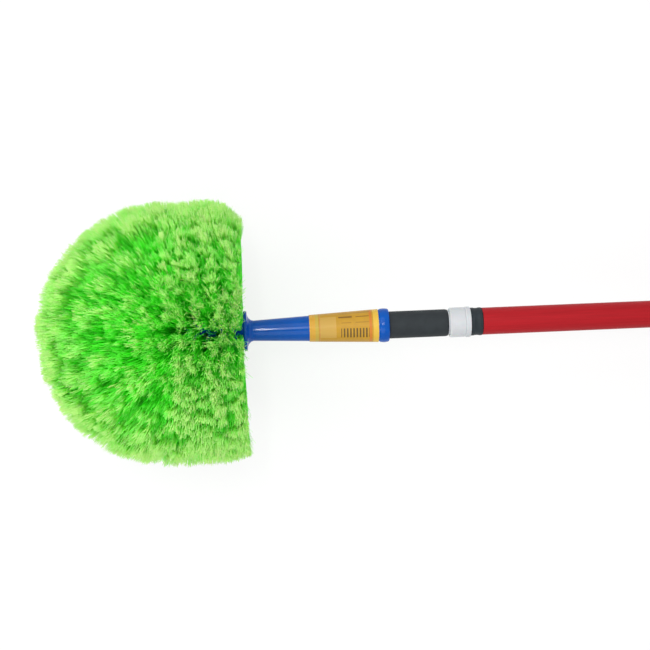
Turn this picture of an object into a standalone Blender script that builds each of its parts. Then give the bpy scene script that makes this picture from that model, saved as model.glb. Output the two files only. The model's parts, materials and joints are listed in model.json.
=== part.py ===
"""Telescopic cobweb duster: a domed brush head on a two-section pole with a twist lock.

Every piece is modelled in the pole's own frame. There Z runs up the pole towards the brush, and
Z = 0 is the mouth of the brush socket. One empty lays the whole duster on the floor, where the
filament dome and the end cap carry it and the pole slopes down between them. The pole frame's
+X side then faces up. Lengths are in metres.
"""
import math

import bmesh
import bpy
from mathutils import Matrix, Vector

# Fits shared by all pieces
FIT_GAP = 0.0003
CUT_OVERRUN = 0.002
MERGE_DISTANCE = 0.00001
SHARP_ANGLE = math.radians(35)
ROUND_STEPS = 40
ARC_STEPS = 4

# Outer tube, red coated steel
OUTER_TUBE_DIAMETER = 0.025
OUTER_TUBE_WALL = 0.0007

# Lock body: nose under the nut, collar on the tube's mouth, spigot inside the tube
SPIGOT_WALL = 0.0011
SPIGOT_LENGTH = 0.040
COLLAR_RIM = 0.0004
COLLAR_LENGTH = 0.0107
COLLAR_EDGE = 0.0006
COLLAR_WAIST_DEPTH = 0.0004
COLLAR_WAIST_LENGTH = 0.0048
NOSE_WALL = 0.0012
NOSE_LENGTH = 0.0100

# Inner tube and its telescoping stroke
TUBE_CLEARANCE = 0.0004
INNER_TUBE_WALL = 0.0006
EXTENSION = 0.650
STOP_RESERVE = 0.003

# Guide bush on the inner tube's lower end
BUSH_LENGTH = 0.028
BUSH_FLOOR = 0.0025
BUSH_VENT_RADIUS = 0.004
BUSH_SLOT_WIDTH = 0.0016
BUSH_SLOT_LENGTH = 0.012
BUSH_SLOTS = 3
BUSH_END_CLEARANCE = 0.004

# Tip ferrule: sleeve on the inner tube, shoulder, and cone for the brush socket
FERRULE_WALL = 0.0022
FERRULE_LENGTH = 0.0545
FERRULE_END_LENGTH = 0.0032
SHOULDER_WIDTH = 0.0009
TUBE_END_DEPTH = 0.004
CONE_LENGTH = 0.050
CONE_DROP = 0.0026
CONE_WALL = 0.003
CONE_TIP_CHAMFER = 0.0012
FLUTES = 6
FLUTE_WIDTH = 0.003
FLUTE_DEPTH = 0.0007
FLUTE_BASE = 0.006

# Lock nut and its split collet
NUT_LENGTH = 0.0193
NUT_WALL = 0.0018
NUT_EDGE_RADIUS = 0.0012
NUT_TRAVEL = 0.0010
NUT_TONGUE_LENGTH = 0.0019
NUT_TONGUE_WALL = 0.0005
NUT_LIP_LENGTH = 0.0044
NUT_LIP_HEIGHT = 0.0004
NUT_GROOVE_WIDTH = 0.0009
NUT_GROOVE_DEPTH = 0.0005
SEAT_DROP = 0.0007
COLLET_LENGTH = 0.0076
COLLET_SLOTS = 6
COLLET_SLOT_WIDTH = 0.0012
COLLET_SLOT_LENGTH = 0.0055

# End cap with its hanging eye
PLUG_LENGTH = 0.025
CAP_RIM = 0.0011
CAP_LENGTH = 0.016
CAP_EDGE_RADIUS = 0.002
CAP_DOME_LENGTH = 0.005
CAP_DOME_RADIUS = 0.0085
TAB_THICKNESS = 0.007
TAB_WIDTH = 0.022
TAB_REACH = 0.030
TAB_EDGE = 0.0008
EYE_RADIUS = 0.0055

# Brush socket: core spine, flange, neck, taper and beaded mouth
MOUTH_WALL = 0.0028
BEAD_LENGTH = 0.0088
BEAD_HEIGHT = 0.0010
NECK_WALL = 0.0039
NECK_HEIGHT = 0.124
FLANGE_FILLET_LENGTH = 0.0058
FLANGE_THICKNESS = 0.0032
FLANGE_RIM = 0.0015
FLANGE_EDGE_RADIUS = 0.0012
CORING_RADIUS = 0.0055
CORING_TOP_MARGIN = 0.010
CORING_POINT = 0.003

# Wrap label on the taper
LABEL_LENGTH = 0.0632
LABEL_START = 0.0098
LABEL_THICKNESS = 0.00025
LABEL_WRAP_DEGREES = 330

# Filament core and dome
CORE_RADIUS = 0.017
CORE_LENGTH = 0.065
CROWN_SKIRT = 0.028
BACKING_THICKNESS = 0.0026
FILAMENT_LENGTH = 0.1055
DOME_BODY_LENGTH = 0.070
DOME_BACK_DROP = 0.002
BACK_SPLAY = 0.003
STRAND_TIP_WIDTH = 0.0054
CROWN_SPLITS = 4
RING_COUNT = 4
ROWS_PER_RING = 2
COLUMNS = 40
REST_FLAT = 0.0005

# Radii, from the outer tube inwards and outwards
outer_tube_radius = OUTER_TUBE_DIAMETER / 2
outer_tube_bore = outer_tube_radius - OUTER_TUBE_WALL
spigot_radius = outer_tube_bore - FIT_GAP
lock_bore = spigot_radius - SPIGOT_WALL
inner_tube_radius = lock_bore - TUBE_CLEARANCE
inner_tube_bore = inner_tube_radius - INNER_TUBE_WALL
sleeve_bore = inner_tube_radius + FIT_GAP
collar_radius = outer_tube_radius + COLLAR_RIM
nose_radius = lock_bore + NOSE_WALL
nut_bore = nose_radius + FIT_GAP
nut_radius = nut_bore + NUT_WALL
nut_lip_radius = nut_radius + NUT_LIP_HEIGHT
tongue_radius = lock_bore + NUT_TONGUE_WALL
recess_radius = tongue_radius + FIT_GAP
ferrule_radius = sleeve_bore + FERRULE_WALL
ferrule_end_radius = recess_radius + FIT_GAP
cone_base_radius = ferrule_radius - SHOULDER_WIDTH
cone_tip_radius = cone_base_radius - CONE_DROP
cap_radius = outer_tube_radius + CAP_RIM
mouth_bore = cone_base_radius + FIT_GAP
mouth_radius = mouth_bore + MOUTH_WALL
neck_radius = CORING_RADIUS + NECK_WALL
flange_radius = CORE_RADIUS + FLANGE_RIM
spine_radius = CORE_RADIUS - BACKING_THICKNESS - FIT_GAP
dome_radius = CORE_RADIUS + FILAMENT_LENGTH

# Heights up the pole, from the end cap to the brush
ferrule_bottom = -FIT_GAP - FERRULE_LENGTH
nut_front = ferrule_bottom - FIT_GAP - NUT_TRAVEL
nut_back = nut_front - NUT_LENGTH
collar_top = nut_back - FIT_GAP
collar_bottom = collar_top - COLLAR_LENGTH
outer_tube_top = collar_bottom - FIT_GAP
spigot_bottom = collar_bottom - SPIGOT_LENGTH
bush_top = spigot_bottom - STOP_RESERVE - EXTENSION
bush_bottom = bush_top - BUSH_LENGTH
plug_top = bush_bottom - BUSH_END_CLEARANCE
outer_tube_bottom = plug_top - PLUG_LENGTH
cap_top = outer_tube_bottom - FIT_GAP
cap_bottom = cap_top - CAP_LENGTH
tab_end = cap_bottom - TAB_REACH
eye_height = tab_end + TAB_WIDTH / 2
inner_tube_top = -TUBE_END_DEPTH
inner_tube_bottom = bush_bottom + BUSH_FLOOR + FIT_GAP
nose_top = collar_top + NOSE_LENGTH
flange_back = NECK_HEIGHT + FLANGE_FILLET_LENGTH
flange_front = flange_back + FLANGE_THICKNESS
core_back = flange_front + FIT_GAP
nose_centre = core_back + CORE_LENGTH
crown_base = nose_centre - CROWN_SKIRT
dome_back = core_back - BACK_SPLAY
dome_front = dome_back + DOME_BODY_LENGTH

# The strands' rows on the core's back part and on the dome's body
ring_pitch = (crown_base - core_back) / RING_COUNT
row_rise = DOME_BODY_LENGTH / (RING_COUNT * ROWS_PER_RING)
column_angle = math.tau / COLUMNS

# Where the duster rests: two strands of the last row, and the end cap's far edge
rest_azimuth = column_angle
rest_height = dome_back + (row_rise - STRAND_TIP_WIDTH) / 2
last_row_radius = dome_radius - DOME_BACK_DROP
rest_depth = (
    last_row_radius * math.cos(rest_azimuth)
    + STRAND_TIP_WIDTH / 2 * math.sin(rest_azimuth)
    - REST_FLAT
)
slope = math.atan2(rest_depth - cap_radius, rest_height - cap_bottom)
axis_rise = rest_depth * math.cos(slope) - rest_height * math.sin(slope)
low_x = -dome_front * math.cos(slope) - dome_radius
high_x = -tab_end * math.cos(slope) + TAB_THICKNESS / 2 * math.sin(slope)
middle_x = (low_x + high_x) / 2


def clear_scene():
    """Remove every object of the scene that the script starts in."""
    for obj in list(bpy.data.objects):
        bpy.data.objects.remove(obj, do_unlink=True)


def make_collection(name):
    """Return a new collection linked to the scene."""
    collection = bpy.data.collections.new(name)
    bpy.context.scene.collection.children.link(collection)
    return collection


def plastic(name, colour, roughness, metallic=0.0):
    """Return a Principled material with one colour."""
    material = bpy.data.materials.new(name)
    material.use_nodes = True
    shader = material.node_tree.nodes["Principled BSDF"]
    shader.inputs["Base Color"].default_value = (*colour, 1.0)
    shader.inputs["Roughness"].default_value = roughness
    shader.inputs["Metallic"].default_value = metallic
    material.diffuse_color = (*colour, 1.0)
    return material


def add_empty(name, parent=None):
    """Add an empty that carries a group of pieces."""
    empty = bpy.data.objects.new(name, None)
    PARTS.objects.link(empty)
    empty.parent = parent
    return empty


def add_object(name, mesh, material, parent, collection=None):
    """Add a mesh object with its material under its parent."""
    obj = bpy.data.objects.new(name, mesh)
    (collection or PARTS).objects.link(obj)
    obj.parent = parent
    if material:
        mesh.materials.append(material)
    return obj


def bake(obj):
    """Replace an object's mesh and modifiers by its evaluated mesh."""
    bpy.context.view_layer.update()
    graph = bpy.context.evaluated_depsgraph_get()
    mesh = bpy.data.meshes.new_from_object(obj.evaluated_get(graph))
    source = obj.data
    obj.modifiers.clear()
    obj.data = mesh
    mesh.name = obj.name
    bpy.data.meshes.remove(source)


def shade_round(obj):
    """Shade the object smooth, with its real edges kept sharp."""
    obj.data.shade_smooth()
    obj.data.set_sharp_from_angle(angle=SHARP_ANGLE)


def arc(centre, radii, start, end, steps=ARC_STEPS):
    """Return points of an elliptic arc in the (radius, height) plane, angles in degrees."""
    points = []
    for step in range(steps + 1):
        angle = math.radians(start + (end - start) * step / steps)
        points.append((centre[0] + radii[0] * math.cos(angle), centre[1] + radii[1] * math.sin(angle)))
    return points


def profile_mesh(name, outline, closed):
    """Return a mesh of edges that joins the outline's (radius, height) points."""
    points = [(radius, 0, height) for radius, height in outline]
    edges = [(index, index + 1) for index in range(len(points) - 1)]
    if closed:
        edges.append((len(points) - 1, 0))
    mesh = bpy.data.meshes.new(name)
    mesh.from_pydata(points, edges, [])
    return mesh


def turned(name, outline, material, parent, closed=True, steps=ROUND_STEPS):
    """Turn an outline round the pole axis into a solid."""
    obj = add_object(name, profile_mesh(name, outline, closed), material, parent)
    screw = obj.modifiers.new("Turn", "SCREW")
    screw.axis = "Z"
    screw.steps = steps
    screw.render_steps = steps
    screw.use_merge_vertices = True
    screw.merge_threshold = MERGE_DISTANCE
    bake(obj)
    shade_round(obj)
    return obj


def add_boolean(obj, operation, cutter):
    """Cut the object with a hidden cutter, or join the cutter to it."""
    modifier = obj.modifiers.new(cutter.name, "BOOLEAN")
    modifier.operation = operation
    modifier.solver = "EXACT"
    modifier.object = cutter


def cutter_object(name, mesh, parent):
    """Add a cutter, drawn as a wire and left out of the finished object."""
    cutter = add_object(name, mesh, None, parent, CUTTERS)
    cutter.display_type = "WIRE"
    cutter.hide_render = True
    return cutter


def box_ring_cutter(name, parent, count, size, place):
    """Add a cutter of equal boxes spaced evenly round the pole axis."""
    bm = bmesh.new()
    for index in range(count):
        turn = Matrix.Rotation(math.tau * index / count, 4, "Z")
        bmesh.ops.create_cube(bm, size=1, matrix=turn @ place @ Matrix.Diagonal((*size, 1)))
    mesh = bpy.data.meshes.new(name)
    bm.to_mesh(mesh)
    bm.free()
    return cutter_object(name, mesh, parent)


def build_outer_tube(parent):
    """The coated outer tube, open at both ends."""
    outline = [
        (outer_tube_bore, outer_tube_top),
        (outer_tube_radius, outer_tube_top),
        (outer_tube_radius, outer_tube_bottom),
        (outer_tube_bore, outer_tube_bottom),
    ]
    return turned("outer_tube", outline, MATERIALS["red_coat"], parent)


def build_lock_body(parent):
    """Waisted collar on the outer tube's mouth, with the nut's nose above and a spigot below."""
    edge = COLLAR_EDGE
    middle = (collar_top + collar_bottom) / 2
    waist = (COLLAR_WAIST_DEPTH, COLLAR_WAIST_LENGTH / 2)
    outline = [
        (lock_bore, nose_top),
        (nose_radius, nose_top),
        (nose_radius, collar_top),
        (collar_radius - edge, collar_top),
        (collar_radius, collar_top - edge),
        *arc((collar_radius, middle), waist, 90, 270),
        (collar_radius, collar_bottom + edge),
        (collar_radius - edge, collar_bottom),
        (spigot_radius, collar_bottom),
        (spigot_radius, spigot_bottom + edge),
        (spigot_radius - edge, spigot_bottom),
        (lock_bore, spigot_bottom),
    ]
    return turned("lock_body", outline, MATERIALS["black_plastic"], parent)


def build_end_cap(parent):
    """Plug and cap on the tube's lower end, with a flat tab and its hanging eye."""
    plug_radius = outer_tube_bore - FIT_GAP
    edge = CAP_EDGE_RADIUS
    outline = [
        (0, plug_top),
        (plug_radius - edge, plug_top),
        (plug_radius, plug_top - edge),
        (plug_radius, cap_top),
        *arc((cap_radius - edge, cap_top - edge), (edge, edge), 90, 0),
        (cap_radius, cap_bottom),
        *arc((CAP_DOME_RADIUS, cap_bottom), (cap_radius - CAP_DOME_RADIUS, CAP_DOME_LENGTH), -15, -90),
        (0, cap_bottom - CAP_DOME_LENGTH),
    ]
    cap = turned("end_cap", outline, MATERIALS["black_plastic"], parent, closed=False)
    add_boolean(cap, "UNION", build_tab(parent))
    add_boolean(cap, "DIFFERENCE", build_eye_cutter(parent))
    return cap


def build_tab(parent):
    """The hanging tab: a flat outline with a round end, extruded and bevelled."""
    half = TAB_WIDTH / 2
    root = cap_bottom + CAP_DOME_LENGTH
    outline = [(half, root)]
    outline += arc((0, eye_height), (half, half), 0, -180, 4 * ARC_STEPS)
    outline += [(-half, root)]
    curve = bpy.data.curves.new("tab_outline", "CURVE")
    curve.dimensions = "2D"
    curve.fill_mode = "BOTH"
    curve.extrude = TAB_THICKNESS / 2 - TAB_EDGE
    curve.bevel_depth = TAB_EDGE
    curve.bevel_resolution = 1
    curve.offset = -TAB_EDGE
    spline = curve.splines.new("POLY")
    spline.points.add(len(outline) - 1)
    for point, (across, height) in zip(spline.points, outline):
        point.co = (across, height, 0, 1)
    spline.use_cyclic_u = True
    flat = bpy.data.objects.new("tab_outline", curve)
    CUTTERS.objects.link(flat)
    bpy.context.view_layer.update()
    graph = bpy.context.evaluated_depsgraph_get()
    mesh = bpy.data.meshes.new_from_object(flat.evaluated_get(graph))
    bm = bmesh.new()
    bm.from_mesh(mesh)
    bmesh.ops.remove_doubles(bm, verts=bm.verts, dist=MERGE_DISTANCE)
    bmesh.ops.transform(bm, matrix=FLAT_TO_POLE, verts=bm.verts)
    bm.to_mesh(mesh)
    bm.free()
    bpy.data.objects.remove(flat)
    return cutter_object("hanging_tab", mesh, parent)


def build_eye_cutter(parent):
    """The cylinder that cuts the hanging eye through the tab."""
    bm = bmesh.new()
    bmesh.ops.create_cone(
        bm,
        cap_ends=True,
        segments=ROUND_STEPS // 2,
        radius1=EYE_RADIUS,
        radius2=EYE_RADIUS,
        depth=TAB_THICKNESS + CUT_OVERRUN,
        matrix=Matrix.Translation((0, 0, eye_height)) @ Matrix.Rotation(math.pi / 2, 4, "Y"),
    )
    mesh = bpy.data.meshes.new("hanging_eye")
    bm.to_mesh(mesh)
    bm.free()
    return cutter_object("hanging_eye", mesh, parent)


def build_split_collet(parent):
    """The slotted cone that the nut squeezes on to the inner tube."""
    bottom = nose_top + FIT_GAP
    top = bottom + COLLET_LENGTH
    outline = [
        (sleeve_bore, top),
        (nose_radius - SEAT_DROP, top),
        (nose_radius, bottom),
        (sleeve_bore, bottom),
    ]
    collet = turned("split_collet", outline, MATERIALS["natural_plastic"], parent)
    size = (2 * nose_radius, COLLET_SLOT_WIDTH, COLLET_SLOT_LENGTH + CUT_OVERRUN)
    place = Matrix.Translation((nose_radius, 0, top + (CUT_OVERRUN - COLLET_SLOT_LENGTH) / 2))
    slots = box_ring_cutter("collet_slots", parent, COLLET_SLOTS, size, place)
    add_boolean(collet, "DIFFERENCE", slots)
    return collet


def build_lock_nut(parent):
    """The sleeve nut: tongue in the ferrule's recess, collet seat, nose bore and raised lip."""
    seat_bottom = nose_top + FIT_GAP
    seat_top = seat_bottom + COLLET_LENGTH + FIT_GAP
    lip_top = nut_back + NUT_LIP_LENGTH
    groove_top = lip_top + NUT_GROOVE_WIDTH
    edge = NUT_EDGE_RADIUS
    outline = [
        (lock_bore, nut_front + NUT_TONGUE_LENGTH),
        (tongue_radius, nut_front + NUT_TONGUE_LENGTH),
        (tongue_radius, nut_front),
        *arc((nut_radius - edge, nut_front - edge), (edge, edge), 90, 0),
        (nut_radius, groove_top),
        (nut_radius - NUT_GROOVE_DEPTH, groove_top - NUT_GROOVE_WIDTH / 2),
        (nut_lip_radius, lip_top - NUT_GROOVE_DEPTH),
        (nut_lip_radius, nut_back + NUT_GROOVE_DEPTH),
        (nut_lip_radius - NUT_GROOVE_DEPTH, nut_back),
        (nut_bore, nut_back),
        (nut_bore, seat_bottom),
        (nut_bore - SEAT_DROP, seat_top),
        (lock_bore, seat_top),
    ]
    return turned("lock_nut", outline, MATERIALS["white_plastic"], parent)


def build_inner_tube(parent):
    """The plain inner tube, from inside the ferrule to the guide bush's floor."""
    outline = [
        (inner_tube_bore, inner_tube_top),
        (inner_tube_radius, inner_tube_top),
        (inner_tube_radius, inner_tube_bottom),
        (inner_tube_bore, inner_tube_bottom),
    ]
    return turned("inner_tube", outline, MATERIALS["bare_metal"], parent)


def build_guide_bush(parent):
    """The cup on the inner tube's lower end that runs in the outer tube."""
    floor = bush_bottom + BUSH_FLOOR
    edge = COLLAR_EDGE
    outline = [
        (sleeve_bore, bush_top),
        (spigot_radius - edge, bush_top),
        (spigot_radius, bush_top - edge),
        (spigot_radius, bush_bottom + edge),
        (spigot_radius - edge, bush_bottom),
        (BUSH_VENT_RADIUS, bush_bottom),
        (BUSH_VENT_RADIUS, floor),
        (sleeve_bore, floor),
    ]
    bush = turned("guide_bush", outline, MATERIALS["black_plastic"], parent)
    size = (2 * spigot_radius, BUSH_SLOT_WIDTH, BUSH_SLOT_LENGTH + CUT_OVERRUN)
    place = Matrix.Translation((spigot_radius, 0, bush_top + (CUT_OVERRUN - BUSH_SLOT_LENGTH) / 2))
    slots = box_ring_cutter("bush_slots", parent, BUSH_SLOTS, size, place)
    add_boolean(bush, "DIFFERENCE", slots)
    return bush


def build_tip_ferrule(parent):
    """The pole's tip: a sleeve on the inner tube and a fluted cone for the brush socket.

    A recess in the sleeve's round end takes the nut's tongue.
    """
    end = (ferrule_radius - ferrule_end_radius, FERRULE_END_LENGTH)
    recess_top = ferrule_bottom + NUT_TONGUE_LENGTH
    hollow = cone_tip_radius - CONE_WALL
    chamfer = CONE_TIP_CHAMFER
    web_bottom = inner_tube_top + FIT_GAP
    outline = [
        (0, 0),
        (hollow, 0),
        (hollow, CONE_LENGTH),
        (cone_tip_radius - chamfer, CONE_LENGTH),
        (cone_tip_radius, CONE_LENGTH - chamfer),
        (cone_base_radius, -FIT_GAP),
        (ferrule_radius - FIT_GAP, -FIT_GAP),
        (ferrule_radius, -2 * FIT_GAP),
        *arc((ferrule_end_radius, ferrule_bottom + FERRULE_END_LENGTH), end, 0, -90),
        (recess_radius, ferrule_bottom),
        (recess_radius, recess_top),
        (sleeve_bore, recess_top),
        (sleeve_bore, web_bottom),
        (0, web_bottom),
    ]
    ferrule = turned("tip_ferrule", outline, MATERIALS["grey_plastic"], parent, closed=False)
    flute_length = CONE_LENGTH - FLUTE_BASE + CUT_OVERRUN
    middle_height = FLUTE_BASE + flute_length / 2
    middle_share = middle_height / CONE_LENGTH
    middle_radius = cone_base_radius - CONE_DROP * middle_share
    size = (2 * FLUTE_DEPTH, FLUTE_WIDTH, flute_length)
    lean = Matrix.Rotation(-math.atan2(CONE_DROP, CONE_LENGTH), 4, "Y")
    place = Matrix.Translation((middle_radius, 0, middle_height)) @ lean
    flutes = box_ring_cutter("cone_flutes", parent, FLUTES, size, place)
    add_boolean(ferrule, "DIFFERENCE", flutes)
    return ferrule


def build_brush_socket(parent):
    """The head moulding: core spine, flange, slim neck, taper and beaded mouth, cored out."""
    edge = FLANGE_EDGE_RADIUS
    fillet_radius = flange_radius - edge - neck_radius
    cone_seat = CONE_LENGTH + FIT_GAP
    coring_top = NECK_HEIGHT - CORING_TOP_MARGIN
    outline = [
        *arc((0, nose_centre), (spine_radius, spine_radius), 90, 0, 2 * ARC_STEPS),
        (spine_radius, flange_front),
        *arc((flange_radius - edge, flange_front - edge), (edge, edge), 90, 0),
        *arc((flange_radius - edge, flange_back + edge), (edge, edge), 0, -90),
        *arc((flange_radius - edge, NECK_HEIGHT), (fillet_radius, FLANGE_FILLET_LENGTH), 90, 180)[1:],
        *arc((mouth_radius, BEAD_LENGTH / 2), (BEAD_HEIGHT, BEAD_LENGTH / 2), 90, -90, 2 * ARC_STEPS),
        (mouth_bore, 0),
        (mouth_bore - CONE_DROP, cone_seat),
        (CORING_RADIUS, cone_seat),
        (CORING_RADIUS, coring_top),
        (0, coring_top + CORING_POINT),
    ]
    return turned("brush_socket", outline, MATERIALS["blue_plastic"], parent, closed=False)


def build_product_label(parent):
    """A thin wrap on the socket's taper, with its seam underneath."""
    def taper_radius(height):
        share = (height - BEAD_LENGTH) / (NECK_HEIGHT - BEAD_LENGTH)
        return mouth_radius + (neck_radius - mouth_radius) * share + FIT_GAP

    top = LABEL_START + LABEL_LENGTH
    outline = [(taper_radius(top), top), (taper_radius(LABEL_START), LABEL_START)]
    mesh = profile_mesh("product_label", outline, False)
    label = add_object("product_label", mesh, MATERIALS["yellow_film"], parent)
    label.rotation_euler = (0, 0, -math.radians(LABEL_WRAP_DEGREES / 2))
    screw = label.modifiers.new("Wrap", "SCREW")
    screw.axis = "Z"
    screw.angle = math.radians(LABEL_WRAP_DEGREES)
    screw.steps = ROUND_STEPS
    screw.render_steps = ROUND_STEPS
    screw.merge_threshold = MERGE_DISTANCE
    film = label.modifiers.new("Film", "SOLIDIFY")
    film.thickness = LABEL_THICKNESS
    film.offset = 1
    bake(label)
    shade_round(label)
    return label


def rest_on_floor(tip, root):
    """Draw a strand's tip corner back along the strand to the floor where it would pass it."""
    tip_rise = axis_rise + tip[0] * math.cos(slope) + tip[2] * math.sin(slope)
    root_rise = axis_rise + root[0] * math.cos(slope) + root[2] * math.sin(slope)
    if tip_rise >= 0:
        return tip
    return tip.lerp(root, tip_rise / (tip_rise - root_rise))


def grow_strands(bm, faces, tip_places):
    """Draw a strand out of each face of the backing: tip_places gives its far corners."""
    places = [tip_places(face) for face in faces]
    roots = [[vert.co.copy() for vert in face.verts] for face in faces]
    grown = bmesh.ops.extrude_discrete_faces(bm, faces=faces)["faces"]
    for face, corners, root in zip(grown, places, roots):
        for vert, corner in zip(face.verts, corners):
            start = min(root, key=lambda place: (place - vert.co).length)
            vert.co = rest_on_floor(corner, start)


def dome_point(polar, azimuth):
    """A point of the dome's round front, from the angle off the nose and the azimuth."""
    place = Vector((dome_radius * math.sin(polar), 0, dome_front + dome_radius * math.cos(polar)))
    return Matrix.Rotation(azimuth, 3, "Z") @ place


def core_point(polar, azimuth, depth):
    """A point of the crown's backing: round nose, then straight skirt, at a depth below its skin."""
    nose_arc = CORE_RADIUS * math.pi / 2
    run = polar / (math.pi / 2) * (nose_arc + CROWN_SKIRT)
    radius = CORE_RADIUS - depth
    if run < nose_arc:
        bend = run / CORE_RADIUS
        place = Vector((radius * math.sin(bend), 0, nose_centre + radius * math.cos(bend)))
    else:
        place = Vector((radius, 0, nose_centre + nose_arc - run))
    return Matrix.Rotation(azimuth, 3, "Z") @ place


def alternate_faces(skin):
    """Walk over the skin from its nose and keep the faces that share no edge with a kept one."""
    first = max(skin, key=lambda face: face.calc_center_median().z)
    order = [first]
    seen = {first}
    kept = set()
    inside = set(skin)
    for face in order:
        linked = [other for edge in face.edges for other in edge.link_faces]
        neighbours = [other for other in linked if other != face and other in inside]
        if not kept.intersection(neighbours):
            kept.add(face)
        for other in neighbours:
            if other not in seen:
                seen.add(other)
                order.append(other)
    return [face for face in order if face in kept]


def build_bristle_crown(parent):
    """The strands over the core's nose: a geodesic half sphere bent to the core's shape."""
    bm = bmesh.new()
    bmesh.ops.create_icosphere(bm, subdivisions=CROWN_SPLITS, radius=1)
    lower = [face for face in bm.faces if face.calc_center_median().z < 0]
    bmesh.ops.delete(bm, geom=lower, context="FACES")
    skin = list(bm.faces)
    shell = bmesh.ops.extrude_face_region(bm, geom=skin, use_keep_orig=True)["geom"]
    inner = {item for item in shell if isinstance(item, bmesh.types.BMVert)}
    angles = {}
    for vert in bm.verts:
        polar = math.acos(max(-1, min(1, vert.co.z)))
        azimuth = math.atan2(vert.co.y, vert.co.x)
        angles[vert] = (polar, azimuth)
        vert.co = core_point(polar, azimuth, BACKING_THICKNESS if vert in inner else 0)
    bmesh.ops.recalc_face_normals(bm, faces=bm.faces)

    def tip_places(face):
        corners = [dome_point(*angles[vert]) for vert in face.verts]
        middle = sum(corners, Vector()) / len(corners)
        width = sum((corner - middle).length for corner in corners) / len(corners) * math.sqrt(3)
        return [middle + (corner - middle) * (STRAND_TIP_WIDTH / width) for corner in corners]

    grow_strands(bm, alternate_faces(skin), tip_places)
    return strand_object("bristle_crown", bm, parent)


def build_bristle_ring(index, parent):
    """One band of strands round the core: a backing ring whose grid carries them in a chequer."""
    bottom = core_back + index * ring_pitch
    top = bottom + ring_pitch - FIT_GAP
    row_height = (top - bottom) / ROWS_PER_RING
    heights = [top - row_height * row for row in range(ROWS_PER_RING + 1)]
    inner = CORE_RADIUS - BACKING_THICKNESS
    outline = [(CORE_RADIUS, height) for height in heights] + [(inner, bottom), (inner, top)]
    name = f"bristle_ring_{RING_COUNT - index}"
    ring = turned(name, outline, MATERIALS["green_filament"], parent, steps=COLUMNS)
    bm = bmesh.new()
    bm.from_mesh(ring.data)
    bmesh.ops.rotate(bm, verts=bm.verts, matrix=Matrix.Rotation(column_angle / 2, 3, "Z"))

    def cell_of(face):
        middle = face.calc_center_median()
        row = int((middle.z - bottom) / row_height)
        column = round(math.atan2(middle.y, middle.x) / column_angle)
        return row, column

    def tip_places(face):
        row, column = cell_of(face)
        middle_height = dome_back + row_rise * (ROWS_PER_RING * index + row + 0.5)
        radius = dome_radius - DOME_BACK_DROP * (dome_front - middle_height) / DOME_BODY_LENGTH
        centre = face.calc_center_median()
        turn = Matrix.Rotation(column * column_angle, 3, "Z")
        half = STRAND_TIP_WIDTH / 2
        corners = []
        for vert in face.verts:
            side = (turn.inverted() @ vert.co).y
            rise = vert.co.z - centre.z
            across = math.copysign(half, side)
            height = middle_height + math.copysign(half, rise)
            corners.append(turn @ Vector((radius, across, height)))
        return corners

    skin = [face for face in bm.faces if is_outer_side(face)]
    carriers = [face for face in skin if (sum(cell_of(face)) + ROWS_PER_RING * index) % 2]
    grow_strands(bm, carriers, tip_places)
    bm.to_mesh(ring.data)
    bm.free()
    return ring


def is_outer_side(face):
    """True for a face on the backing's outer side."""
    middle = face.calc_center_median()
    return face.normal.x * middle.x + face.normal.y * middle.y > CORE_RADIUS / 2


def strand_object(name, bm, parent):
    """Make the strands' object from its finished mesh."""
    mesh = bpy.data.meshes.new(name)
    bm.to_mesh(mesh)
    bm.free()
    return add_object(name, mesh, MATERIALS["green_filament"], parent)


def lay_on_floor(empty):
    """Lay the pole's frame down so that dome and end cap touch the floor."""
    empty.rotation_euler = (0, slope - math.pi / 2, 0)
    empty.location = (-middle_x, 0, axis_rise)


FLAT_TO_POLE = Matrix(((0, 0, 1, 0), (1, 0, 0, 0), (0, 1, 0, 0), (0, 0, 0, 1)))
clear_scene()
PARTS = make_collection("CobwebDuster")
CUTTERS = make_collection("Cutters")
MATERIALS = {
    "red_coat": plastic("red_coat", (0.42, 0.02, 0.025), 0.35),
    "black_plastic": plastic("black_plastic", (0.025, 0.03, 0.035), 0.5),
    "white_plastic": plastic("white_plastic", (0.75, 0.77, 0.82), 0.4),
    "natural_plastic": plastic("natural_plastic", (0.7, 0.68, 0.6), 0.45),
    "bare_metal": plastic("bare_metal", (0.6, 0.61, 0.62), 0.3, 1.0),
    "grey_plastic": plastic("grey_plastic", (0.045, 0.05, 0.055), 0.55),
    "blue_plastic": plastic("blue_plastic", (0.01, 0.12, 0.48), 0.3),
    "yellow_film": plastic("yellow_film", (0.7, 0.43, 0.07), 0.45),
    "green_filament": plastic("green_filament", (0.16, 0.62, 0.06), 0.5),
}


def main():
    """Build the pole, its lock and the brush head, and lay them on the floor."""
    duster = add_empty("duster_on_floor")
    inner_section = add_empty("inner_section", duster)
    brush_head = add_empty("brush_head", inner_section)
    build_outer_tube(duster)
    build_lock_body(duster)
    build_end_cap(duster)
    build_split_collet(duster)
    build_lock_nut(duster)
    build_guide_bush(inner_section)
    build_inner_tube(inner_section)
    build_tip_ferrule(inner_section)
    build_brush_socket(brush_head)
    build_product_label(brush_head)
    build_bristle_crown(brush_head)
    for index in range(RING_COUNT):
        build_bristle_ring(index, brush_head)
    lay_on_floor(duster)


main()
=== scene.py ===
"""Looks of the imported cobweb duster: its finishes, filaments, printed wrap, studio and camera.

The pole's own frame is used to shape pieces. There Z runs up the pole towards the brush, Z = 0 is
the mouth of the brush socket, and +X is the side that faces up as the duster lies on the floor.
Lengths are in metres unless a name says millimetres.
"""
import json
import logging
import math
from dataclasses import dataclass
from enum import Enum

import bpy
import numpy as np
from mathutils import Matrix, Vector


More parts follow.
